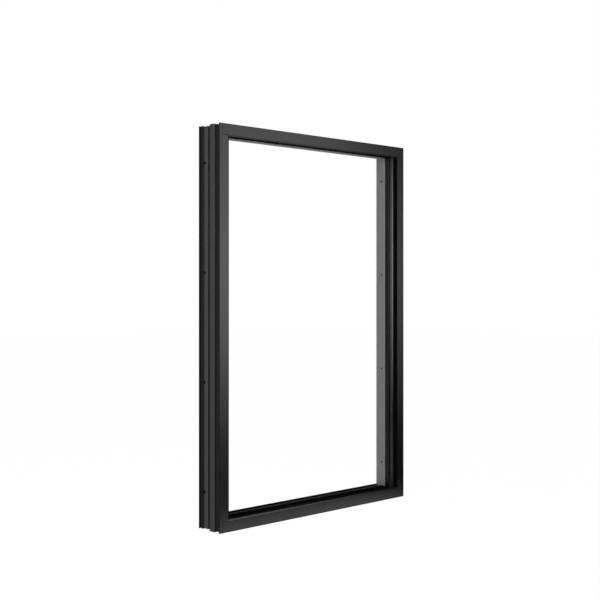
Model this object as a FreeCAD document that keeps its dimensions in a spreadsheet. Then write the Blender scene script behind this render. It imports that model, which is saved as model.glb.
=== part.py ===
"""Fixed picture window: a thermally broken aluminium frame around one sealed glass unit.

The same section runs round all four sides. It is drawn once, as the section of an upright
member: the sketch's X runs from the outer edge inwards and its Y from the front face to the
back. A side is that section, padded along its length, and turned about the depth axis into
its place: left jamb, head, right jamb, sill. The frame stands on its sill, with the origin
under the middle of the frame, +X to the right and +Y towards the room.
"""
import FreeCAD, Part
import os

import Sketcher

DOCUMENT_NAME = "PictureWindow"
PARTS_FOLDER = "parts"

# Driving dimensions in millimetres. Depths are measured back from the front face, and
# insets inwards from the frame's outer edge.
SIZES = {
    # Whole frame
    "frame_width": 1000,
    "frame_height": 1500,
    "frame_depth": 126,
    # Face flange and its corner joint
    "flange_width": 42,
    "flange_thickness": 4,
    "flange_bevel": 2,
    "corner_strip": 14.5,
    "corner_reveal": 1.8,
    # Front half of the frame
    "wall": 2.5,
    "channel_inset": 4.5,
    "rib_front": 32.5,
    "front_half_depth": 60,
    "sight_inset": 38,
    "stop_depth": 21.5,
    "pocket_inset": 20,
    # Thermal break
    "break_inset": 8,
    "break_width": 13,
    "break_cover": 2,
    "break_wall": 1.8,
    # Rear half of the frame
    "land_inset": 3.6,
    "land_width": 32,
    "bar_inset": 0.6,
    "bar_width": 5,
    "back_channel_inset": 2.4,
    "back_flange_thickness": 4,
    "back_bevel": 1.2,
    "upstand_height": 4,
    "upstand_thickness": 4,
    # Fixing holes through the jambs
    "hole_diameter": 12,
    "hole_depth": 95,
    "hole_first": 139,
    "hole_count": 4,
    # Glass unit
    "glass_inset": 24,
    "pane_thickness": 6,
    "spacer_width": 13.4,
    "spacer_inset": 37,
    # Gaskets, bead and setting blocks
    "gasket_thickness": 2.5,
    "gasket_inset": 27,
    "gasket_lip": 1.2,
    "bead_wall": 1.8,
    "bead_bevel": 1.6,
    "block_length": 100,
    "block_share": 4,
}

# Depths that several pieces share, each worked out from the sizes above.
GLASS_FRONT = "(Sizes.stop_depth + Sizes.gasket_thickness)"
INNER_PANE_FRONT = f"({GLASS_FRONT} + Sizes.pane_thickness + Sizes.spacer_width)"
GLASS_BACK = f"({INNER_PANE_FRONT} + Sizes.pane_thickness)"
BEAD_FRONT = f"({GLASS_BACK} + Sizes.gasket_thickness)"
REAR_HALF_FRONT = "(Sizes.front_half_depth + Sizes.break_width)"
BAR_FRONT = f"({REAR_HALF_FRONT} + Sizes.land_width)"
BAR_BACK = f"({BAR_FRONT} + Sizes.bar_width)"
BACK_FLANGE_FRONT = "(Sizes.frame_depth - Sizes.back_flange_thickness)"

# Each side: its turn about the depth axis, the corner that it starts from, and its length.
LEFT, RIGHT = "-Sizes.frame_width / 2", "Sizes.frame_width / 2"
BOTTOM, TOP = "0", "Sizes.frame_height"
SIDES = {
    "left_jamb": (0, LEFT, BOTTOM, "Sizes.frame_height"),
    "head": (90, LEFT, TOP, "Sizes.frame_width"),
    "right_jamb": (180, RIGHT, TOP, "Sizes.frame_height"),
    "sill": (270, RIGHT, BOTTOM, "Sizes.frame_width"),
}
UPRIGHTS = ("left_jamb", "right_jamb")

doc = FreeCAD.newDocument(DOCUMENT_NAME)
sub_parts = []


def make_sheet():
    """Write the driving dimensions into a spreadsheet, one named cell each."""
    sheet = doc.addObject("Spreadsheet::Sheet", "Sizes")
    for row, (alias, value) in enumerate(SIZES.items(), start=1):
        sheet.set(f"A{row}", alias)
        sheet.set(f"B{row}", str(value))
        sheet.setAlias(f"B{row}", alias)
    doc.recompute()
    return sheet


def origin_plane(body, role):
    """One of the body's own origin planes, such as XY_Plane."""
    return next(plane for plane in body.Origin.OriginFeatures if plane.Role == role)


def new_sketch(body, name, role, offset=None):
    """An empty sketch on one of the body's origin planes, moved along its normal."""
    sketch = body.newObject("Sketcher::SketchObject", name)
    sketch.AttachmentSupport = [(origin_plane(body, role), "")]
    sketch.MapMode = "FlatFace"
    if offset:
        sketch.setExpression(".AttachmentOffset.Base.z", offset)
    doc.recompute()
    return sketch


def drive_point(sketch, kind, geometry, place, expression):
    """Hold a point of a sketch's geometry at a driven distance from the sketch's origin."""
    value = float(sketch.evalExpression(expression))
    index = sketch.addConstraint(Sketcher.Constraint(kind, -1, 1, geometry, place, value))
    sketch.setExpression(f"Constraints[{index}]", expression)


def place_point(sketch, edge, point):
    """Tie an edge's start to the point's two expressions, or to an axis where one is 0."""
    for kind, axis, expression in (("DistanceX", -2, point[0]), ("DistanceY", -1, point[1])):
        if expression == "0":
            sketch.addConstraint(Sketcher.Constraint("PointOnObject", edge, 1, axis))
        else:
            drive_point(sketch, kind, edge, 1, expression)


def add_outline(sketch, points):
    """A closed outline of straight edges whose corners follow the sheet."""
    corners = [FreeCAD.Vector(*(float(sketch.evalExpression(value)) for value in point)) for point in points]
    first = sketch.GeometryCount
    for corner, following in zip(corners, corners[1:] + corners[:1]):
        sketch.addGeometry(Part.LineSegment(corner, following), False)
    edges = list(range(first, first + len(points)))
    for edge, following in zip(edges, edges[1:] + edges[:1]):
        sketch.addConstraint(Sketcher.Constraint("Coincident", edge, 2, following, 1))
    for edge, point in zip(edges, points):
        place_point(sketch, edge, point)


def new_body(label, side):
    """An empty body, turned and placed as the given side of the frame."""
    turn, corner_x, corner_z, _ = SIDES[side]
    body = doc.addObject("PartDesign::Body", label)
    body.Label = label
    body.Placement.Rotation = FreeCAD.Rotation(FreeCAD.Vector(0, 1, 0), turn)
    body.setExpression(".Placement.Base.x", corner_x)
    body.setExpression(".Placement.Base.y", "-Sizes.frame_depth / 2")
    body.setExpression(".Placement.Base.z", corner_z)
    sub_parts.append(body)
    return body


def pad_section(body, outlines, length, start=None, name="section"):
    """Pad the section's outlines along the member. Later outlines are its hollow chambers."""
    section = new_sketch(body, f"{body.Name}_{name}", "XY_Plane", start)
    for points in outlines:
        add_outline(section, points)
    pad = body.newObject("PartDesign::Pad", f"{body.Name}_{name}_pad")
    pad.Profile = section
    pad.setExpression("Length", length)
    doc.recompute()
    return pad


def cut_from_front(body, name, outlines, front=None, depth=None):
    """Cut outlines, seen from the front, into the member: to a depth, or right through."""
    sketch = new_sketch(body, f"{body.Name}_{name}_outline", "XZ_Plane", front and f"-({front})")
    for points in outlines:
        add_outline(sketch, points)
    volume = body.Shape.Volume
    pocket = body.newObject("PartDesign::Pocket", f"{body.Name}_{name}")
    pocket.Profile = sketch
    if depth:
        pocket.setExpression("Length", depth)
    else:
        pocket.Type = "ThroughAll"
    doc.recompute()
    if not body.Shape.Volume < volume:
        raise RuntimeError(f"{pocket.Name} cuts nothing")
    return pocket


def mitre(body, side, front=None):
    """Saw both ends of the member at 45 degrees, behind the given depth."""
    length = SIDES[side][3]
    reach = "Sizes.flange_width"
    near_end = [("0", "0"), (reach, "0"), (reach, reach)]
    far_end = [("0", length), (reach, length), (reach, f"{length} - {reach}")]
    cut_from_front(body, "mitre", [near_end, far_end], front)


def rectangle(low, high):
    """Corner points of an upright rectangle between two opposite corners."""
    return [low, (high[0], low[1]), high, (low[0], high[1])]


def cope(body, side):
    """Lap the face flanges at the corners: the jambs keep a strip, the head and sill fill the rest."""
    length = SIDES[side][3]
    face = "Sizes.flange_width"
    if side in UPRIGHTS:
        strip = "Sizes.corner_strip"
        near_end = rectangle((strip, "0"), (face, face))
        far_end = rectangle((strip, f"{length} - {face}"), (face, length))
    else:
        strip = "(Sizes.corner_strip + Sizes.corner_reveal)"
        near_end = rectangle(("0", "0"), (face, strip))
        far_end = rectangle(("0", f"{length} - {strip}"), (face, length))
    cut_from_front(body, "cope", [near_end, far_end], depth="Sizes.flange_thickness")


def make_exterior(side):
    """Front half: face flange, outer channel and rib, and the fixed stop in front of the glass."""
    body = new_body(f"{side}_exterior", side)
    flange_back = "Sizes.flange_thickness"
    outline = [
        ("0", "0"),
        ("Sizes.flange_width - Sizes.flange_bevel", "0"),
        ("Sizes.flange_width", "Sizes.flange_bevel"),
        ("Sizes.flange_width", flange_back),
        ("Sizes.sight_inset", flange_back),
        ("Sizes.sight_inset", "Sizes.stop_depth"),
        ("Sizes.pocket_inset", "Sizes.stop_depth"),
        ("Sizes.pocket_inset", "Sizes.front_half_depth"),
        ("0", "Sizes.front_half_depth"),
        ("0", "Sizes.rib_front"),
        ("Sizes.channel_inset", "Sizes.rib_front"),
        ("Sizes.channel_inset", flange_back),
        ("0", flange_back),
    ]
    chamber = [
        ("Sizes.channel_inset + Sizes.wall", "Sizes.flange_thickness + Sizes.wall"),
        ("Sizes.sight_inset - Sizes.wall", "Sizes.flange_thickness + Sizes.wall"),
        ("Sizes.sight_inset - Sizes.wall", "Sizes.stop_depth - Sizes.wall"),
        ("Sizes.pocket_inset - Sizes.wall", "Sizes.stop_depth - Sizes.wall"),
        ("Sizes.pocket_inset - Sizes.wall", "Sizes.front_half_depth - Sizes.wall"),
        ("Sizes.wall", "Sizes.front_half_depth - Sizes.wall"),
        ("Sizes.wall", "Sizes.rib_front + Sizes.wall"),
        ("Sizes.channel_inset + Sizes.wall", "Sizes.rib_front + Sizes.wall"),
    ]
    pad_section(body, [outline, chamber], SIDES[side][3])
    mitre(body, side, flange_back)
    cope(body, side)


def make_thermal_break(side):
    """Hollow plastic bar that joins the two halves and keeps them apart."""
    body = new_body(f"{side}_thermal_break", side)
    low = ("Sizes.break_inset", "Sizes.front_half_depth")
    high = ("Sizes.pocket_inset - Sizes.break_cover", REAR_HALF_FRONT)
    chamber_low = tuple(f"{value} + Sizes.break_wall" for value in low)
    chamber_high = tuple(f"{value} - Sizes.break_wall" for value in high)
    pad_section(body, [rectangle(low, high), rectangle(chamber_low, chamber_high)], SIDES[side][3])
    mitre(body, side)


def drill_jamb(body):
    """The row of fixing holes, from the outer edge through to the inside of the frame."""
    sketch = new_sketch(body, f"{body.Name}_hole_outline", "YZ_Plane")
    hole = sketch.addGeometry(Part.Circle(FreeCAD.Vector(1, 1), FreeCAD.Vector(0, 0, 1), 1), False)
    drive_point(sketch, "DistanceX", hole, 3, "Sizes.hole_depth")
    drive_point(sketch, "DistanceY", hole, 3, "Sizes.hole_first")
    diameter = float(sketch.evalExpression("Sizes.hole_diameter"))
    index = sketch.addConstraint(Sketcher.Constraint("Diameter", hole, diameter))
    sketch.setExpression(f"Constraints[{index}]", "Sizes.hole_diameter")
    volume = body.Shape.Volume
    pocket = body.newObject("PartDesign::Pocket", f"{body.Name}_hole")
    pocket.Profile = sketch
    pocket.Type = "ThroughAll"
    pocket.Reversed = True
    doc.recompute()
    if not body.Shape.Volume < volume:
        raise RuntimeError(f"{pocket.Name} cuts nothing")
    row = body.newObject("PartDesign::LinearPattern", f"{body.Name}_hole_row")
    row.Originals = [pocket]
    row.Direction = (sketch, ["V_Axis"])
    row.setExpression("Length", "Sizes.frame_height - 2 * Sizes.hole_first")
    row.setExpression("Occurrences", "Sizes.hole_count")
    body.Tip = row
    doc.recompute()


def raise_upstand(body, side):
    """The low lip along the back of the sill that keeps water out of the room."""
    back = "Sizes.sight_inset"
    low = (f"{back} - Sizes.back_bevel", "Sizes.frame_depth - Sizes.upstand_thickness")
    high = (f"{back} + Sizes.upstand_height", "Sizes.frame_depth")
    pad_section(body, [rectangle(low, high)], f"{SIDES[side][3]} - 2 * {back}", back, "upstand")


def make_interior(side):
    """Rear half: screw land, bar, back channel and back flange outside, a flat web inside."""
    body = new_body(f"{side}_interior", side)
    outline = [
        ("Sizes.land_inset", REAR_HALF_FRONT),
        ("Sizes.sight_inset", REAR_HALF_FRONT),
        ("Sizes.sight_inset", "Sizes.frame_depth - Sizes.back_bevel"),
        ("Sizes.sight_inset - Sizes.back_bevel", "Sizes.frame_depth"),
        ("0", "Sizes.frame_depth"),
        ("0", BACK_FLANGE_FRONT),
        ("Sizes.back_channel_inset", BACK_FLANGE_FRONT),
        ("Sizes.back_channel_inset", BAR_BACK),
        ("Sizes.bar_inset", BAR_BACK),
        ("Sizes.bar_inset", BAR_FRONT),
        ("Sizes.land_inset", BAR_FRONT),
    ]
    chamber_low = ("Sizes.land_inset + Sizes.wall", f"{REAR_HALF_FRONT} + Sizes.wall")
    chamber_high = ("Sizes.sight_inset - Sizes.wall", "Sizes.frame_depth - Sizes.wall")
    pad_section(body, [outline, rectangle(chamber_low, chamber_high)], SIDES[side][3])
    mitre(body, side)
    if side in UPRIGHTS:
        drill_jamb(body)
    if side == "sill":
        raise_upstand(body, side)


def stretch_between(side, long_inset, short_inset):
    """Start and length of a strip that butts at the corners: head and sill long, jambs between."""
    inset = short_inset if side in UPRIGHTS else long_inset
    return inset, f"{SIDES[side][3]} - 2 * {inset}"


def make_bead(side):
    """Hollow snap-in bead that holds the glass from behind, seated on the pocket floor."""
    body = new_body(f"{side}_bead", side)
    start, length = stretch_between(side, "Sizes.pocket_inset", "Sizes.sight_inset")
    outline = [
        ("Sizes.pocket_inset", BEAD_FRONT),
        ("Sizes.sight_inset - Sizes.bead_bevel", BEAD_FRONT),
        ("Sizes.sight_inset", f"{BEAD_FRONT} + Sizes.bead_bevel"),
        ("Sizes.sight_inset", REAR_HALF_FRONT),
        ("Sizes.pocket_inset", REAR_HALF_FRONT),
    ]
    chamber_low = ("Sizes.pocket_inset + Sizes.bead_wall", f"{BEAD_FRONT} + Sizes.bead_wall")
    chamber_high = ("Sizes.sight_inset - Sizes.bead_bevel - Sizes.bead_wall",
                    f"{REAR_HALF_FRONT} - Sizes.bead_wall")
    pad_section(body, [outline, rectangle(chamber_low, chamber_high)], length, start)


def make_gasket(side, name, front, back):
    """Rubber strip against the glass, with a lip that stands just past the stop."""
    body = new_body(f"{side}_{name}", side)
    lip_top = "(Sizes.sight_inset + Sizes.gasket_lip)"
    start, length = stretch_between(side, "Sizes.gasket_inset", lip_top)
    middle = f"({front} + {back}) / 2"
    outline = [
        ("Sizes.gasket_inset", front),
        ("Sizes.sight_inset", front),
        (lip_top, middle),
        ("Sizes.sight_inset", back),
        ("Sizes.gasket_inset", back),
    ]
    pad_section(body, [outline], length, start)


def make_spacer(side):
    """Spacer bar and edge seal between the two panes."""
    body = new_body(f"{side}_spacer", side)
    start, length = stretch_between(side, "Sizes.glass_inset", "Sizes.spacer_inset")
    low = ("Sizes.glass_inset", f"{GLASS_FRONT} + Sizes.pane_thickness")
    high = ("Sizes.spacer_inset", INNER_PANE_FRONT)
    pad_section(body, [rectangle(low, high)], length, start)


def make_box(label, sizes, corner):
    """A plain block whose sizes and lowest corner follow the sheet."""
    box = doc.addObject("Part::Box", label)
    box.Label = label
    for name, expression in zip(("Length", "Width", "Height"), sizes):
        box.setExpression(name, expression)
    for axis, expression in zip("xyz", corner):
        box.setExpression(f".Placement.Base.{axis}", expression)
    sub_parts.append(box)


def make_pane(label, front):
    """One sheet of the sealed unit."""
    size = ("Sizes.frame_width - 2 * Sizes.glass_inset", "Sizes.pane_thickness",
            "Sizes.frame_height - 2 * Sizes.glass_inset")
    corner = (f"{LEFT} + Sizes.glass_inset", f"{front} - Sizes.frame_depth / 2", "Sizes.glass_inset")
    make_box(label, size, corner)


def make_setting_block(label, sign):
    """Block on the sill's pocket floor that carries the glass unit, at a quarter of its width."""
    unit_width = "(Sizes.frame_width - 2 * Sizes.glass_inset)"
    size = ("Sizes.block_length", f"{GLASS_BACK} - {GLASS_FRONT}", "Sizes.glass_inset - Sizes.pocket_inset")
    middle = f"{sign}(0.5 - 1 / Sizes.block_share) * {unit_width}"
    left = f"{middle} - Sizes.block_length / 2"
    corner = (left, f"{GLASS_FRONT} - Sizes.frame_depth / 2", "Sizes.pocket_inset")
    make_box(label, size, corner)


def check_and_export():
    """Stop if any object failed or any solid is not sound, then write one file for each sub-part."""
    doc.recompute()
    for item in doc.Objects:
        if "Invalid" in item.State or "Error" in item.State:
            raise RuntimeError(f"{item.Name} failed: {item.State}")
    for piece in sub_parts:
        if piece.Shape.isNull() or not piece.Shape.isValid() or len(piece.Shape.Solids) != 1:
            raise RuntimeError(f"{piece.Label} is not one sound solid")
    os.makedirs(PARTS_FOLDER, exist_ok=True)
    for piece in sub_parts:
        piece.Shape.exportStep(f"{PARTS_FOLDER}/{piece.Label}.step")
    print(f"{len(sub_parts)} sub-parts written")


make_sheet()
for side_name in SIDES:
    make_exterior(side_name)
    make_thermal_break(side_name)
    make_interior(side_name)
    make_bead(side_name)
    make_gasket(side_name, "outer_gasket", "Sizes.stop_depth", GLASS_FRONT)
    make_gasket(side_name, "inner_gasket", GLASS_BACK, BEAD_FRONT)
    make_spacer(side_name)
make_pane("outer_pane", GLASS_FRONT)
make_pane("inner_pane", INNER_PANE_FRONT)
make_setting_block("left_setting_block", "-")
make_setting_block("right_setting_block", "")
check_and_export()
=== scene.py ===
# %% [markdown]
# # A fixed picture window
#
# The object is an upright window that does not open: a deep black aluminium frame around one
# sealed double-glazed unit. The solids of its extrusions, gaskets, spacers and panes come from
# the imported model. This lesson gives them their finishes, adds the small details that the solids
# leave out, and lights the whole as a product photograph.

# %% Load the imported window
import math

import bmesh
import bpy
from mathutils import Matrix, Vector


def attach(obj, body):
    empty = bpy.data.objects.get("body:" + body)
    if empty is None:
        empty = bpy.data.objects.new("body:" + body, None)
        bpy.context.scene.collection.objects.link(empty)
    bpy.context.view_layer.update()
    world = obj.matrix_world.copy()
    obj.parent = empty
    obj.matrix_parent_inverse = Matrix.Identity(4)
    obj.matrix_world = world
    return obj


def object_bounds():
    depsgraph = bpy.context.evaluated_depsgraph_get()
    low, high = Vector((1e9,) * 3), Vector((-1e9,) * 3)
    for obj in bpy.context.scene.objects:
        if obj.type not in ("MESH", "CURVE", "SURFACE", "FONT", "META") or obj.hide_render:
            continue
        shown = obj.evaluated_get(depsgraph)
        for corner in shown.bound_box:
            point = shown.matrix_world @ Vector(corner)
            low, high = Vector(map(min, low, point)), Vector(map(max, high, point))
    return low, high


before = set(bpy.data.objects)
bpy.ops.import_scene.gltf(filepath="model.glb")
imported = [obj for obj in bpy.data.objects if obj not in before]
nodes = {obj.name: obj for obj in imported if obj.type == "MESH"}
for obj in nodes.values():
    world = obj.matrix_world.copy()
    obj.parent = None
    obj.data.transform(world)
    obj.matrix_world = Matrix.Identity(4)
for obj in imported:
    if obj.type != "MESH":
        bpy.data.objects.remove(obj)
cad_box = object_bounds()
low, high = Vector(cad_box[0]), Vector(cad_box[1])
MM = 0.001
print("window box in mm:", [round(v / MM, 1) for v in high - low])

# %% [markdown]
# ## Camera
#
# The window is seen from the left of its face, level, with its uprights truly vertical. A level
# camera keeps them so, and a small lens shift moves the horizon without tilting it. The place
# comes from the vanishing points of the frame's long edges.

# %% Place the camera
TURN_DEG = 42.37
FOCAL_MM = 60.68
SENSOR_MM = 36
# How far the lens shift moves the picture, in pixels, and how wide the picture is.
SHIFT_UP = -11.2
PICTURE_WIDTH = 600
EYE = (-2.7667, -2.9826, 0.8936)

camera = bpy.data.objects.new("camera", bpy.data.cameras.new("camera"))
bpy.context.scene.collection.objects.link(camera)
camera.location = EYE
camera.rotation_euler = (math.radians(90), 0, math.radians(-TURN_DEG))
camera.data.sensor_width = SENSOR_MM
camera.data.lens = FOCAL_MM
camera.data.shift_y = SHIFT_UP / PICTURE_WIDTH
bpy.context.scene.camera = camera
print("camera", tuple(camera.location), "lens", FOCAL_MM)

# %% [markdown]
# ## Shader maths as Python
#
# Finishes are built from nodes. Wiring Math nodes by hand is slow to read, so one small class
# wraps a node's output socket: adding or multiplying two of them adds the Math node. Every
# other kind of node comes from its one method.


# %% The class that writes shader nodes
class Value:
    """A shader value: an output socket in a node tree, with Python's operators on it."""

    def __init__(self, tree, socket=None):
        self.tree = tree
        self.socket = socket

    def node(self, kind, settings=None, inputs=None, output=0):
        """Adds a node, sets it up, fills its sockets with numbers or links, and gives an output."""
        made = self.tree.nodes.new(kind)
        for name, setting in (settings or {}).items():
            if name == "stops":
                made.color_ramp.interpolation = "CONSTANT"
                ramp = made.color_ramp.elements
                for i, (place, level) in enumerate(setting):
                    stop = ramp[i] if i < len(ramp) else ramp.new(place)
                    stop.position = place
                    stop.color = (level, level, level, 1)
            else:
                setattr(made, name, setting)
        for name, value in (inputs or {}).items():
            if isinstance(value, Value):
                self.tree.links.new(value.socket, made.inputs[name])
            else:
                made.inputs[name].default_value = value
        return Value(self.tree, made.outputs[output] if made.outputs else None)

    def maths(self, operation, *others):
        """A Math node on this value and the others."""
        values = dict(enumerate((self, *others)))
        return self.node("ShaderNodeMath", {"operation": operation}, values)

    def __add__(self, other):
        return self.maths("ADD", other)

    __radd__ = __add__

    def __sub__(self, other):
        return self.maths("SUBTRACT", other)

    def __rsub__(self, other):
        return self.node("ShaderNodeMath", {"operation": "SUBTRACT"}, {0: other, 1: self})

    def __mul__(self, other):
        return self.maths("MULTIPLY", other)

    __rmul__ = __mul__

    def __lt__(self, other):
        return self.maths("LESS_THAN", other)

    def __gt__(self, other):
        return self.maths("GREATER_THAN", other)

    def __abs__(self):
        return self.maths("ABSOLUTE")

    def span(self, start, end):
        """0 at start, 1 at end, straight between and level outside."""
        inputs = {"Value": self, "From Min": start, "From Max": end}
        return self.node("ShaderNodeMapRange", {"clamp": True}, inputs)

    def parts(self):
        """The x, y and z of a vector."""
        split = self.node("ShaderNodeSeparateXYZ", {}, {"Vector": self}).socket.node
        return [Value(self.tree, out) for out in split.outputs]

    def between(self, first, second):
        """first where this value is 0 and second where it is 1; each a colour or a link."""
        inputs = {"Factor": self, 6: first, 7: second}
        return self.node("ShaderNodeMix", {"data_type": "RGBA"}, inputs, 2)


def grey(level):
    """A colour socket's value for a neutral grey."""
    return (level, level, level, 1)


def new_finish(name):
    """A material with an empty tree, and the value from which its nodes start."""
    material = bpy.data.materials.new(name)
    material.use_nodes = True
    material.node_tree.nodes.clear()
    return material, Value(material.node_tree)


def close_finish(start, inputs):
    """Ends a finish with its Principled shader."""
    surface = start.node("ShaderNodeBsdfPrincipled", {}, inputs)
    start.node("ShaderNodeOutputMaterial", {}, {"Surface": surface})


def object_place(start):
    """Where a point lies on the window, in metres."""
    return start.node("ShaderNodeTexCoord", {}, {}, "Object")


def noise(place, scale, detail=2.0, rough=0.5):
    """Cloudy noise from 0 to 1, with about scale lumps in a metre."""
    inputs = {"Vector": place, "Scale": scale, "Detail": detail, "Roughness": rough}
    return place.node("ShaderNodeTexNoise", {}, inputs, "Fac")


def raised(height, strength, distance, normal=None):
    """A normal with that height map pressed into the surface."""
    inputs = {"Height": height, "Strength": strength, "Distance": distance}
    if normal is not None:
        inputs["Normal"] = normal
    return height.node("ShaderNodeBump", {}, inputs)


print("shader class ready")

# %% [markdown]
# ## Black powder coat
#
# The extrusions are powder coated: a satin black skin with a fine orange peel, a little dust and
# thin paler lines where the coat is worn off the sharp edges. The orange peel is a bump from
# fine noise. The Bevel node rounds the normals at edges, so that they catch the light as real
# extrusions do, and where its normal leaves the flat one there is an edge to wear. The recesses
# are painted in shade, a darker black without gloss, while the face, the ribs and the lands keep
# the satin coat. Masks could be painted on each piece, but all four sides have nearly the same
# section, so the finish finds these places by itself, from how far a point lies in from the outer
# edge and how far behind the face.

# %% Places in the section
OUTER_SKIN = 12 * MM
WEB_INSET = 37 * MM
FACE_SKIN = 0.4 * MM
EDGE_SKIN = 2.2 * MM
# Along its outer edge strip the face loses this share of its sheen, as painted shade.
EDGE_PAINTED_SHADE = 0.5
RIB_FRONT = 32.5 * MM
RIB_SKIN = 0.3 * MM
BEVEL_INSET = 39.9 * MM
BEVEL_DEPTH = 3.6 * MM
BACK_FACE = 125.5 * MM
PAST_BACK = 1000 * MM
# From which depth to which the inner web is painted paler, as painted light falling on it.
JAMB_LIT_WEB = (72.5 * MM, PAST_BACK)
HEAD_LIT_WEB = (81 * MM, PAST_BACK)
SILL_LIT_WEB = (92 * MM, 112 * MM)
# How much satin sheen the outer side keeps, step by step down its depth: painted sheen on the lit
# ribs and lands, painted shade in the recesses. The depth in millimetres where each step starts.
OUTER_SHEEN_STEPS = [
    (0, 0.15),
    (4.3, 0.26),
    (32, 1.0),
    (38, 0.70),
    (61, 0.12),
    (72.5, 0.83),
    (82, 1.0),
    (90, 0.60),
    (106, 0.19),
]
# Near the floor the outer side loses this share of its sheen as painted shade, which is gone between
# these heights.
LOW_PAINTED_SHADE = 0.14
LOW_SHADE_REACH = (0.1, 0.65)
# Towards the right the bevel loses this share of its sheen as painted shade, between these places.
BEVEL_PAINTED_SHADE = 0.7
BEVEL_SHADE_REACH = (0.05, 0.42)


def section_place(place):
    """How far a point lies in from the frame's outer edge, and how far behind its face."""
    x, y, z = place.parts()
    inset = (high.x - abs(x)).maths("MINIMUM", high.z - z).maths("MINIMUM", z - low.z)
    return inset, y - low.y


def outer_painted_sheen(depth):
    """How much satin sheen the outer side keeps at that depth; the rest is painted shade."""
    whole = high.y - low.y
    stops = [(start * MM / whole, level) for start, level in OUTER_SHEEN_STEPS]
    return depth.node("ShaderNodeValToRGB", {"stops": stops}, {"Fac": depth * (1 / whole)})


def coat_masks(place, web_reach):
    """Where a point is, with painted light and shade worked in: inner web, bevel, front of the rib,
    outer side, or face and back.
    """
    x, _, z = place.parts()
    inset, depth = section_place(place)
    web = (inset > WEB_INSET) * (depth > web_reach[0]) * (depth < web_reach[1])
    on_bevel = (inset > BEVEL_INSET) * (depth < BEVEL_DEPTH)
    bevel = on_bevel * (1 - BEVEL_PAINTED_SHADE * x.span(*BEVEL_SHADE_REACH))
    rib_front = (inset < OUTER_SKIN) * (abs(depth - RIB_FRONT) < RIB_SKIN)
    low_shade_lift = 1 - LOW_PAINTED_SHADE + LOW_PAINTED_SHADE * z.span(*LOW_SHADE_REACH)
    outer = (inset < OUTER_SKIN) * outer_painted_sheen(depth) * low_shade_lift
    face = (depth < FACE_SKIN) * (1 - EDGE_PAINTED_SHADE * (inset < EDGE_SKIN))
    face_and_back = (1 - on_bevel) * (face + (depth > BACK_FACE))
    return web, bevel, rib_front, outer, face_and_back


print("steps of the coat down the outer side:", len(OUTER_SHEEN_STEPS))

# %% [markdown]
# One coat would do if light fell evenly on all sides. Seen from the left, the inner web of a jamb
# is much paler than the face, the head's is paler still, the sill's has one grey stripe, and the
# bevels differ from side to side. So one function makes the coat, and each side's web and bevel
# get a grey and a gloss of their own: painted light and painted shade for how light falls there.

# %% Powder coat for the frame
EDGE_RADIUS = 0.6 * MM
EDGE_SAMPLES = 4
COAT_BLACK = grey(0.004)
# The recesses take this darker black, which is painted shade.
RECESS_PAINTED_SHADE = grey(0.0018)
COAT_WORN = grey(0.03)
# The front of the rib is painted grey, as painted light over the shade in the corner before it.
RIB_FRONT_PAINTED_LIGHT = 0.032
WEAR_LUMPS = 60
WEAR_PATCHES = (0.48, 0.62)
# The two normals' dot product where wear starts and where it is full.
WEAR_TURN = (0.97, 0.80)
DUST_LUMPS = 7
DUST_PATCHES = (0.45, 0.75)
PEEL_LUMPS = 1500
PEEL_STRENGTH = 0.10
PEEL_HEIGHT = 0.2 * MM
# Roughness of the satin coat and of its painted-shade copy, and what dust and wear add to it.
SATIN_ROUGHNESS = 0.22
SATIN_DUST = 0.04
SATIN_WEAR = 0.10
SHADE_ROUGHNESS = 0.55
SHADE_DUST = 0.1


def edge_wear(place, soft):
    """1 along the edges where the coat is worn off, in patches."""
    flat = place.node("ShaderNodeNewGeometry", {}, {}, "Normal")
    settings = {"operation": "DOT_PRODUCT"}
    meet = place.node("ShaderNodeVectorMath", settings, {0: soft, 1: flat}, "Value")
    return meet.span(*WEAR_TURN) * noise(place, WEAR_LUMPS, detail=3.0).span(*WEAR_PATCHES)


def coat_colour(black, worn, painted_light_greys):
    """The coat's black, paler where it is worn, and the painted-light greys of the places that have
    one.
    """
    colour = worn.between(black, COAT_WORN)
    for mask, level in painted_light_greys:
        if level:
            colour = mask.between(colour, grey(level))
    return colour


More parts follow.
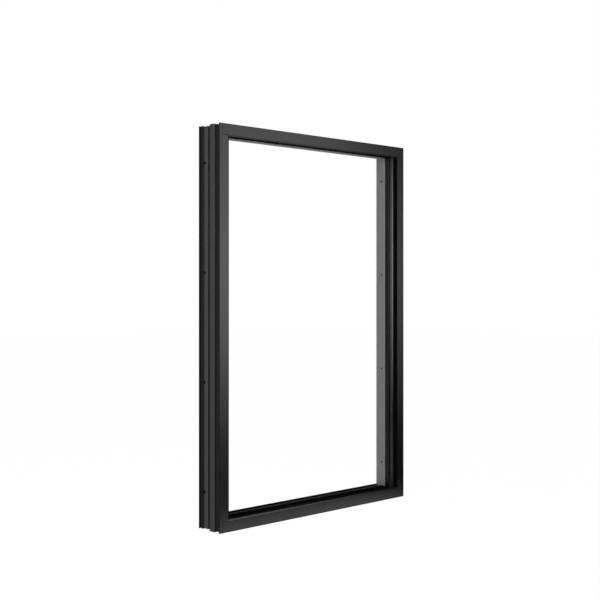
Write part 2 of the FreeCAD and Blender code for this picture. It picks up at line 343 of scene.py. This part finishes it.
def powder_coat(name, web=(None, 1.0), web_reach=JAMB_LIT_WEB, bevel=(None, 1.0), recess_gloss=0.0):
    """The coat; web and bevel are each a painted-light grey, or None for the coat's own black, and a
    share of satin against painted shade.
    """
    material, start = new_finish(name)
    place = object_place(start)
    soft = start.node("ShaderNodeBevel", {"samples": EDGE_SAMPLES}, {"Radius": EDGE_RADIUS})
    worn = edge_wear(place, soft)
    dust = noise(place, DUST_LUMPS, detail=4.0, rough=0.6).span(*DUST_PATCHES)
    on_web, on_bevel, on_rib_front, outer, face_and_back = coat_masks(place, web_reach)
    painted_light_greys = [(on_web, web[0]), (on_bevel, bevel[0]), (on_rib_front, RIB_FRONT_PAINTED_LIGHT)]
    satin_coat = {
        "Base Color": coat_colour(COAT_BLACK, worn, painted_light_greys),
        "Roughness": SATIN_ROUGHNESS + SATIN_DUST * dust + SATIN_WEAR * worn,
        "Normal": raised(noise(place, PEEL_LUMPS, detail=1.0), PEEL_STRENGTH, PEEL_HEIGHT, soft),
    }
    shaded_coat = {
        "Base Color": coat_colour(RECESS_PAINTED_SHADE, worn, painted_light_greys),
        "Roughness": SHADE_ROUGHNESS + SHADE_DUST * dust,
        "Specular IOR Level": 0.0,
    }
    # The share of the satin coat; where it is below one, the glossless painted shade shows.
    gloss = recess_gloss + face_and_back + bevel[1] * on_bevel + outer + web[1] * on_web
    surfaces = [start.node("ShaderNodeBsdfPrincipled", {}, inputs) for inputs in (shaded_coat, satin_coat)]
    inputs = {"Fac": gloss.maths("MINIMUM", 1.0), 1: surfaces[0], 2: surfaces[1]}
    both = start.node("ShaderNodeMixShader", {}, inputs)
    start.node("ShaderNodeOutputMaterial", {}, {"Surface": both})
    return material


# These coats are copies of one coat that differ only by painted light and shade: how much sheen each
# bevel and recess keeps, the inner webs painted paler, and the head's bevel painted pale as a painted
# reflection.
frame_coat = powder_coat("frame_powder_coat", bevel=(None, 0.85))
jamb_coat = powder_coat("jamb_powder_coat", bevel=(None, 0.0))
head_coat = powder_coat("head_powder_coat", bevel=(0.047, 0.1))
bead_coat = powder_coat("bead_powder_coat", recess_gloss=0.24)
jamb_rear_coat = powder_coat("jamb_rear_powder_coat", web=(0.10, 1.0))
head_rear_coat = powder_coat("head_rear_powder_coat", web=(0.24, 0.3), web_reach=HEAD_LIT_WEB)
sill_rear_coat = powder_coat("sill_rear_powder_coat", web=(0.03, 0.1), web_reach=SILL_LIT_WEB)
print("powder coats ready")

# %% [markdown]
# ## Rubber, plastic and spacer metal
#
# Gaskets and setting blocks are matte black rubber with a faint bloom. The thermal breaks are
# glass-filled plastic pushed through a die. Their streaks could follow each bar by its own
# coordinates, but all bars lie across the depth, so it is enough to squeeze the noise in depth.

# %% Matte black rubber and plastic
BLOOM_LUMPS = 25
BLOOM_PATCHES = (0.4, 0.7)
BLOOM_LIFT = 1.8
BLOOM_ROUGHNESS = 0.08
MATTE_SHINE = 0.01
PORE_STRENGTH = 0.15
PORE_HEIGHT = 0.2 * MM


def matte_black(name, level, rough, pores, squeeze=(1, 1, 1)):
    """Rubber or plastic: nearly black, with that many pores in a metre and a cloudy bloom."""
    material, start = new_finish(name)
    inputs = {"Vector": object_place(start), "Scale": squeeze}
    place = start.node("ShaderNodeMapping", {}, inputs)
    bloom = noise(place, BLOOM_LUMPS, detail=3.0).span(*BLOOM_PATCHES)
    inputs = {
        "Base Color": bloom.between(grey(level), grey(level * BLOOM_LIFT)),
        "Roughness": rough + BLOOM_ROUGHNESS * bloom,
        "Specular IOR Level": MATTE_SHINE,
        "Normal": raised(noise(place, pores), PORE_STRENGTH, PORE_HEIGHT),
    }
    close_finish(start, inputs)
    return material


gasket_rubber = matte_black("gasket_rubber", level=0.006, rough=0.62, pores=2200)
block_rubber = matte_black("block_rubber", level=0.012, rough=0.70, pores=1500)
thermal_plastic = matte_black("thermal_plastic", level=0.010, rough=0.50, pores=900, squeeze=(1, 6, 1))
print("rubber and plastic ready")

# %% [markdown]
# Spacer bars are dark satin metal with a fine drawn grain. Their front shoulder, where the pane
# is sealed on, is painted brighter as a painted highlight, and painted shade darkens them towards
# the bottom and the top corners; the grain holds a little real dust. In the head and the sill the
# bars are painted dark whole, as painted shade. The jambs' inner gaskets lie beside the spacers
# and have the same grain and painted shade over a grey painted paler as painted light, so the same
# function makes them.

# %% Drawn bars
# In front of this depth a bar takes its shoulder's grey, a painted highlight.
SHOULDER_END = 32.2 * MM
GRAIN_LUMPS = 240
GRAIN_SQUEEZE = (1, 14, 1)
GRAIN_STRENGTH = 0.05
GRAIN_HEIGHT = 0.1 * MM
GRAIN_ROUGHNESS = 0.12
# Under full painted shade and dust a bar has this share of its grey. The grain itself holds a little
# real dust.
SHADED_AND_DUSTED = 0.2
GRAIN_DUST = 0.2
# How much painted shade darkens the bottom and the top, and the heights between which it grows to that.
LOW_BAR_SHADE = 0.85
LOW_BAR_SHADE_REACH = (0.85, 0.4)
HIGH_BAR_SHADE = 0.6
HIGH_BAR_SHADE_REACH = (1.15, 1.45)


def drawn_bar(name, level, shoulder_highlight, rough, metallic=0.0, shine=0.0):
    """A bar with a fine grain along it, a front shoulder painted in its own grey as a highlight, and
    ends darkened by painted shade.
    """
    material, start = new_finish(name)
    whole = object_place(start)
    place = start.node("ShaderNodeMapping", {}, {"Vector": whole, "Scale": GRAIN_SQUEEZE})
    grain = noise(place, GRAIN_LUMPS, detail=3.0)
    _, depth = section_place(whole)
    _, _, z = whole.parts()
    bare = (depth < SHOULDER_END).between(grey(level), grey(shoulder_highlight))
    # Here dust is mostly painted shade towards the bottom and the top, plus a little real dust in the
    # grain.
    dust = LOW_BAR_SHADE * z.span(*LOW_BAR_SHADE_REACH) + HIGH_BAR_SHADE * z.span(*HIGH_BAR_SHADE_REACH)
    dust = dust + GRAIN_DUST * grain
    inputs = {
        "Base Color": dust.between(bare, grey(level * SHADED_AND_DUSTED)),
        "Roughness": rough + GRAIN_ROUGHNESS * grain,
        "Metallic": metallic,
        "Specular IOR Level": shine,
        "Normal": raised(grain, GRAIN_STRENGTH, GRAIN_HEIGHT),
    }
    close_finish(start, inputs)
    return material


# The jambs' spacers get a bright shoulder, a painted highlight.
spacer_metal = drawn_bar("spacer_metal", level=0.05, shoulder_highlight=0.32, rough=0.40, metallic=0.6, shine=0.5)
# The head's and the sill's spacers are painted dark whole, as painted shade.
shaded_spacer_metal = drawn_bar("shaded_spacer_metal", level=0.004, shoulder_highlight=0.006, rough=0.60)
# The jambs' inner gaskets are painted a paler grey than the other gaskets, as painted light.
lit_jamb_gasket = drawn_bar("lit_jamb_gasket", level=0.045, shoulder_highlight=0.045, rough=0.60)
print("drawn bars ready")

# %% [markdown]
# ## Clear glass
#
# Float glass is clear, with a trace of green. Its real index of refraction is about 1.5. In this
# white studio that lays a pale veil and noise over the dark sides behind it, which clean glass in
# a product picture doesn't show, so the index here is just over that of air. Rays from the lamp
# go straight through, because a path tracer would otherwise leave everything behind the glass in
# shade.

# %% Float glass
GLASS_TINT = (0.999, 1.0, 0.999, 1)
GLASS_INDEX = 1.02
HAZE_LUMPS = 3
HAZE_PATCHES = (0.4, 0.8)
HAZE_ROUGHNESS = 0.002


def float_glass(name):
    """A clear pane with a trace of haze, clear to the lamp's rays."""
    material, start = new_finish(name)
    haze = noise(object_place(start), HAZE_LUMPS, detail=3.0).span(*HAZE_PATCHES)
    inputs = {
        "Base Color": GLASS_TINT,
        "Roughness": HAZE_ROUGHNESS * haze,
        "IOR": GLASS_INDEX,
        "Transmission Weight": 1.0,
    }
    pane = start.node("ShaderNodeBsdfPrincipled", {}, inputs)
    clear = start.node("ShaderNodeBsdfTransparent", {}, {"Color": GLASS_TINT})
    lamp_ray = start.node("ShaderNodeLightPath", {}, {}, "Is Shadow Ray")
    both = start.node("ShaderNodeMixShader", {}, {"Fac": lamp_ray, 1: pane, 2: clear})
    start.node("ShaderNodeOutputMaterial", {}, {"Surface": both})
    return material


clear_glass = float_glass("float_glass")
print("glass ready")

# %% [markdown]
# ## Dress the solids
#
# Each node of the imported model keeps its shape. A list of 32 finishes would be long, so a node gets
# the finish of its kind, by the end of its name, unless its side has a copy of its own with its own
# painted light and shade.

# %% Give every node its finish
FINISH_OF = {
    "exterior": frame_coat,
    "thermal_break": thermal_plastic,
    "bead": bead_coat,
    "gasket": gasket_rubber,
    "spacer": spacer_metal,
    "pane": clear_glass,
    "setting_block": block_rubber,
}
# These sides take copies that differ by painted light and shade.
OWN_FINISH = {
    "left_jamb_exterior": jamb_coat,
    "right_jamb_exterior": jamb_coat,
    "head_exterior": head_coat,
    "left_jamb_interior": jamb_rear_coat,
    "right_jamb_interior": jamb_rear_coat,
    "head_interior": head_rear_coat,
    "sill_interior": sill_rear_coat,
    "left_jamb_inner_gasket": lit_jamb_gasket,
    "right_jamb_inner_gasket": lit_jamb_gasket,
    "head_bead": frame_coat,
    "head_spacer": shaded_spacer_metal,
    "sill_bead": frame_coat,
    "sill_spacer": shaded_spacer_metal,
}


def finish_for(name):
    """The node's own finish, or else that of its kind."""
    if name in OWN_FINISH:
        return OWN_FINISH[name]
    for ending, finish in FINISH_OF.items():
        if name.endswith(ending):
            return finish
    raise ValueError(name)


for name, node in nodes.items():
    node.data.materials.clear()
    node.data.materials.append(finish_for(name))
print("dressed", len(nodes), "nodes")

# %% [markdown]
# ## Sight lip
#
# The inner edge of the face flange ends in a thin sloped lip that leads down towards the glass.
# It could be swept along a curve, but a sweep thins at sharp corners. Here its section is drawn
# once, as places in from the outer edge and behind the face, and each place is carried round the
# four corners of the frame, which gives true mitres. Each side takes the coat of its own flange.

# %% Sight lip
LIP_SECTION = [
    (40.2 * MM, 0.05 * MM),
    (45.5 * MM, 3.2 * MM),
    (45.5 * MM, 3.9 * MM),
    (41 * MM, 3.9 * MM),
]
# The coats of the left jamb, the head, the right jamb and the sill.
LIP_COATS = [jamb_coat, head_coat, jamb_coat, frame_coat]


def frame_corners(inset, depth):
    """The corners of the frame at that place: bottom left, top left, top right, bottom right."""
    x, y = high.x - inset, low.y + depth
    bottom, top = low.z + inset, high.z - inset
    return [(-x, y, bottom), (-x, y, top), (x, y, top), (x, y, bottom)]


lip = bmesh.new()
loops = [[lip.verts.new(corner) for corner in frame_corners(*place)] for place in LIP_SECTION]
for ring, following in zip(loops, loops[1:] + loops[:1]):
    for side in range(4):
        after = (side + 1) % 4
        face = lip.faces.new((ring[side], ring[after], following[after], following[side]))
        face.material_index = side
bmesh.ops.recalc_face_normals(lip, faces=lip.faces)
lip_mesh = bpy.data.meshes.new("sight_lip")
lip.to_mesh(lip_mesh)
lip.free()
for coat in LIP_COATS:
    lip_mesh.materials.append(coat)
sight_lip = bpy.data.objects.new("sight_lip", lip_mesh)
bpy.context.scene.collection.objects.link(sight_lip)
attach(sight_lip, "root")
print("sight lip", len(lip_mesh.polygons), "faces")

# %% [markdown]
# ## Rims, bushes and perforations
#
# Three small details are left to this script. Each fixing hole has a raised rim, because the coat
# gathers on the edge of a drilled hole. On the inner side a bush narrows it to the screw, so that
# the hollow wall isn't crushed. The spacer bars are perforated along the side that faces the
# sealed space, so that the drying grains inside can take up moisture. Copies could be placed in a
# loop, but all repeat along straight runs, so Geometry Nodes trees make them: the runs become
# curves, the curves are divided into points, and one small shape is set at each point. A rim and
# a bush are both round rings, so one tree makes both with different sizes.

# %% Helpers for the trees
def new_tree(name, sizes):
    """An empty Geometry Nodes tree with named inputs; gives it and its inputs by name."""
    tree = bpy.data.node_groups.new(name, "GeometryNodeTree")
    tree.interface.new_socket("Geometry", in_out="OUTPUT", socket_type="NodeSocketGeometry")
    for label, kind in {"Runs": "Geometry", **sizes, "Finish": "Material"}.items():
        tree.interface.new_socket(label, in_out="INPUT", socket_type="NodeSocket" + kind)
    start = Value(tree)
    ins = start.node("NodeGroupInput").socket.node.outputs
    return tree, start, {out.name: Value(tree, out) for out in ins if out.name}


def close_tree(start, ins, points, shape, turn):
    """Sets the shape at the points, makes it real and gives it its finish."""
    inputs = {"Points": points, "Instance": shape, "Rotation": turn}
    rows = start.node("GeometryNodeInstanceOnPoints", {}, inputs)
    real = start.node("GeometryNodeRealizeInstances", {}, {"Geometry": rows})
    inputs = {"Geometry": real, "Material": ins["Finish"]}
    done = start.node("GeometryNodeSetMaterial", {}, inputs)
    start.node("NodeGroupOutput", {}, {"Geometry": done})


def grow(name, tree, runs, sizes):
    """Runs a tree over straight runs and keeps the result as a plain mesh on the frame."""
    mesh = bpy.data.meshes.new(name)
    ends = [point for run in runs for point in run]
    mesh.from_pydata(ends, [(i, i + 1) for i in range(0, len(ends), 2)], [])
    piece = bpy.data.objects.new(name, mesh)
    bpy.context.scene.collection.objects.link(piece)
    modifier = piece.modifiers.new(name, "NODES")
    modifier.node_group = tree
    for item in tree.interface.items_tree:
        if item.name in sizes:
            modifier[item.identifier] = sizes[item.name]
    scene_now = bpy.context.evaluated_depsgraph_get()
    grown = bpy.data.meshes.new_from_object(piece.evaluated_get(scene_now), depsgraph=scene_now)
    piece.modifiers.clear()
    piece.data = grown
    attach(piece, "root")
    print(name, len(grown.polygons), "faces")


# %% Hole rims
HOLE_DEPTH = 95 * MM
HOLE_FIRST = 139 * MM
HOLE_COUNT = 4
HOLE_RADIUS = 6 * MM
RIM_THICKNESS = 0.45 * MM
LAND_INSET = 3.6 * MM
INNER_INSET = 38 * MM
RING_STEPS = 28
RING_SECTION_STEPS = 6


def ring_tree():
    """A round ring at each point of the runs, for rims and bushes."""
    sizes = {"Count": "Int", "Hole radius": "Float", "Thickness": "Float"}
    tree, start, ins = new_tree("hole_rings", sizes)
    curve = start.node("GeometryNodeMeshToCurve", {}, {"Mesh": ins["Runs"]})
    points = start.node("GeometryNodeResampleCurve", {}, {"Curve": curve, "Count": ins["Count"]})
    inputs = {"Resolution": RING_STEPS, "Radius": ins["Hole radius"] + ins["Thickness"]}
    circle = start.node("GeometryNodeCurvePrimitiveCircle", {}, inputs)
    inputs = {"Resolution": RING_SECTION_STEPS, "Radius": ins["Thickness"]}
    section = start.node("GeometryNodeCurvePrimitiveCircle", {}, inputs)
    inputs = {"Curve": circle, "Profile Curve": section}
    ring = start.node("GeometryNodeCurveToMesh", {}, inputs)
    close_tree(start, ins, points, ring, (0, math.radians(90), 0))
    return tree


def hole_rows(*insets):
    """A run up each jamb for each inset, from the lowest hole to the highest."""
    y = low.y + HOLE_DEPTH
    walls = [sign * (high.x - inset) for sign in (-1, 1) for inset in insets]
    return [((x, y, low.z + HOLE_FIRST), (x, y, high.z - HOLE_FIRST)) for x in walls]


rings = ring_tree()
rim_sizes = {
    "Count": HOLE_COUNT,
    "Hole radius": HOLE_RADIUS,
    "Thickness": RIM_THICKNESS,
    "Finish": jamb_rear_coat,
}
grow("hole_rims", rings, hole_rows(LAND_INSET, INNER_INSET), rim_sizes)

# %% Hole bushes
BUSH_BORE = 3.2 * MM
BUSH_THICKNESS = 1.4 * MM

bush_sizes = {**rim_sizes, "Hole radius": BUSH_BORE, "Thickness": BUSH_THICKNESS}
grow("hole_bushes", rings, hole_rows(INNER_INSET - BUSH_THICKNESS), bush_sizes)

# %% Spacer perforations
SPACER_INSET = 37 * MM
SPACER_DEPTH = 36.7 * MM
PERFORATION_STEP = 14 * MM
PERFORATION_SIZE = (1.3 * MM, 0.6 * MM, 0.15 * MM)
PERFORATION_SEGMENTS = 8
PERFORATION_RINGS = 4
CORNER_CLEAR = 22 * MM


def perforation_tree():
    """A flat oval at each step along the runs, turned along them."""
    tree, start, ins = new_tree("spacer_perforations", {"Step": "Float", "Size": "Vector"})
    curve = start.node("GeometryNodeMeshToCurve", {}, {"Mesh": ins["Runs"]})
    inputs = {"Curve": curve, "Length": ins["Step"]}
    points = start.node("GeometryNodeResampleCurve", {"mode": "LENGTH"}, inputs)
    along = start.node("GeometryNodeInputTangent")
    axes = {"axis": "X", "pivot_axis": "Y"}
    turn = start.node("FunctionNodeAlignRotationToVector", axes, {"Vector": along})
    inputs = {"Segments": PERFORATION_SEGMENTS, "Rings": PERFORATION_RINGS, "Radius": 1.0}
    ball = start.node("GeometryNodeMeshUVSphere", {}, inputs)
    oval = start.node("GeometryNodeTransform", {}, {"Geometry": ball, "Scale": ins["Size"]})
    close_tree(start, ins, points, oval, turn)
    return tree


spacer_y = low.y + SPACER_DEPTH
side_x = high.x - SPACER_INSET
ends_z = (low.z + SPACER_INSET, high.z - SPACER_INSET)
clear_z = (ends_z[0] + CORNER_CLEAR, ends_z[1] - CORNER_CLEAR)
clear_x = side_x - CORNER_CLEAR
spacer_rows = [[(x, spacer_y, z) for z in clear_z] for x in (-side_x, side_x)]
spacer_rows += [[(x, spacer_y, z) for x in (-clear_x, clear_x)] for z in ends_z]
# Each perforation is a small black rubber oval on the spacer, painted shade for the dark inside of a
# hole.
perforation_sizes = {"Step": PERFORATION_STEP, "Size": PERFORATION_SIZE, "Finish": gasket_rubber}
grow("spacer_perforations", perforation_tree(), spacer_rows, perforation_sizes)

# %% [markdown]
# ## Floor, world, cards and lamp
#
# The photograph is a product picture on pure white, so the floor and the world are white to the
# camera, to mirrors and through glass. More light would whiten them too, but it would also turn
# the black coat grey. A black coat mirrors everything around it, so a photographer shapes its
# sheen with cards round the set, and so does this studio. In reflections the floor fades to the
# front and to the right. A graduated card stands in front of the face, bright at eye height and
# dimmer towards the floor, the top and the right. A black card stands low behind the sill. Both
# are seen only in reflections. One large soft box on the left gives the plain light. It isn't
# seen through the panes, so it counts only once.

# %% Floor and world
FLOOR_HALF = 14.0
FLOOR_Z = -0.0005
DIFFUSE_LEVEL = 0.4
SHADOW_SHARE = 0.04
OPEN_FLOOR = 1.02
FLOOR_GREY = 0.85
# In reflections the floor has this share of its white in front, and all of it at the frame.
FRONT_SHEEN = 0.22
FRONT_REACH = (-0.35, -0.1)
# Between these places it fades to nothing on the right.
RIGHT_REACH = (0.25, 0.80)


def rays(start, *names):
    """Light Path outputs by name: what kind of ray is looking."""
    path = start.node("ShaderNodeLightPath").socket.node.outputs
    return [Value(start.tree, path[name]) for name in names]


def seen_directly(start):
    """1 for rays from the camera, from a mirror or through glass."""
    first, second, third = rays(start, "Is Camera Ray", "Is Glossy Ray", "Is Transmission Ray")
    return first.maths("MAXIMUM", second).maths("MAXIMUM", third)


def floor_sheen(start):
    """How bright the floor is in a reflection: it fades to the front and to the right."""
    x, y, _ = object_place(start).parts()
    fade = FRONT_SHEEN + (1 - FRONT_SHEEN) * y.span(*FRONT_REACH)
    return fade * (1 - x.span(*RIGHT_REACH))


def white_ground(name):
    """A pale floor, white where it is seen, that keeps a faint shadow."""
    material, start = new_finish(name)
    lit = start.node("ShaderNodeBsdfDiffuse", {}, {"Color": grey(FLOOR_GREY)})
    glossy, through = rays(start, "Is Glossy Ray", "Is Transmission Ray")
    mirrored = glossy * (1 - through)
    white = OPEN_FLOOR - mirrored + mirrored * floor_sheen(start)
    glow = start.node("ShaderNodeEmission", {}, {"Color": white})
    share = (1 - SHADOW_SHARE) * seen_directly(start)
    both = start.node("ShaderNodeMixShader", {}, {"Fac": share, 1: lit, 2: glow})
    start.node("ShaderNodeOutputMaterial", {}, {"Surface": both})
    return material


def stage_sheet(name, corners, finish):
    """A flat four-cornered sheet of the studio, not part of the window."""
    mesh = bpy.data.meshes.new(name)
    mesh.from_pydata(corners, [], [(0, 1, 2, 3)])
    mesh.materials.append(finish)
    sheet = bpy.data.objects.new(name, mesh)
    bpy.context.scene.collection.objects.link(sheet)
    return sheet


across = ((-1, -1), (1, -1), (1, 1), (-1, 1))
floor_corners = [(x * FLOOR_HALF, y * FLOOR_HALF, FLOOR_Z) for x, y in across]
stage_sheet("floor", floor_corners, white_ground("floor_white"))

world = bpy.data.worlds.new("studio")
bpy.context.scene.world = world
world.use_nodes = True
world.node_tree.nodes.clear()
sky = Value(world.node_tree)
sky_strength = DIFFUSE_LEVEL + (1 - DIFFUSE_LEVEL) * seen_directly(sky)
backdrop = sky.node("ShaderNodeBackground", {}, {"Color": grey(1.0), "Strength": sky_strength})
sky.node("ShaderNodeOutputWorld", {}, {"Surface": backdrop})
print("floor and world ready")

# %% Reflection cards
# The face card's glow, how much of it is lost to the right, and between which places.
GLOW = 2.4
GLOW_LOSS = 1.7
GLOW_LOSS_REACH = (1.2, 1.95)
# The heights between which it rises from the floor, and falls again above.
GLOW_RISE = (-0.08, 0.85)
GLOW_TOP = (1.1, 2.1)
# The share that it loses above, on the left, what is added to that on the right, and where.
TOP_LOSS = 0.5
TOP_LOSS_MORE = 0.4
TOP_LOSS_REACH = (1.4, 1.95)


def graduated(start):
    """The face card's brightness: a wide glow at eye height on its left."""
    x, _, z = object_place(start).parts()
    glow = GLOW - GLOW_LOSS * x.span(*GLOW_LOSS_REACH)
    top_loss = TOP_LOSS + TOP_LOSS_MORE * x.span(*TOP_LOSS_REACH)
    return glow * z.span(*GLOW_RISE) * (1 - top_loss * z.span(*GLOW_TOP))


def reflection_card(name, pattern=None):
    """Seen only in reflections: black, or bright by its pattern, and clear to other rays."""
    material, start = new_finish(name)
    direct = rays(start, "Glossy Depth")[0] < 0.5
    level = pattern(start) if pattern else grey(0.0)
    shown = start.node("ShaderNodeEmission", {}, {"Color": level})
    clear = start.node("ShaderNodeBsdfTransparent")
    both = start.node("ShaderNodeMixShader", {}, {"Fac": direct, 1: shown, 2: clear})
    start.node("ShaderNodeOutputMaterial", {}, {"Surface": both})
    return material


# Each card's pattern, the places of its two ends on the floor, and its height.
CARDS = {
    "face_card": (graduated, (-2.2, -1.4), (4.5, -1.4), 3),
    "sill_card": (None, (0, 1.45), (3.2, 0.5), 0.95),
}
for card_name, (pattern, left, right, tall) in CARDS.items():
    card_corners = [(*left, 0), (*right, 0), (*right, tall), (*left, tall)]
    card = stage_sheet(card_name, card_corners, reflection_card(card_name + "_skin", pattern))
    card.visible_camera = False
    card.visible_diffuse = False
    card.visible_transmission = False
    card.visible_shadow = False
print("cards:", list(CARDS))

# %% The lamp
BOX_PLACE = (-2.7, -2.0, 1.5)
BOX_AIM = (0, 0, 0.75)
BOX_SIZE = (1.5, 1.5)
BOX_WATTS = 95


def soft_box(name, place, aim, size, watts):
    """A rectangular lamp at place, turned towards aim."""
    lamp = bpy.data.lights.new(name, "AREA")
    lamp.shape = "RECTANGLE"
    lamp.size, lamp.size_y = size
    lamp.energy = watts
    box = bpy.data.objects.new(name, lamp)
    box.location = place
    box.rotation_euler = (Vector(aim) - Vector(place)).to_track_quat("-Z", "Y").to_euler()
    box.visible_transmission = False
    bpy.context.scene.collection.objects.link(box)


soft_box("left_box", BOX_PLACE, BOX_AIM, BOX_SIZE, BOX_WATTS)
bpy.context.scene.view_settings.view_transform = "Standard"
print("studio ready")
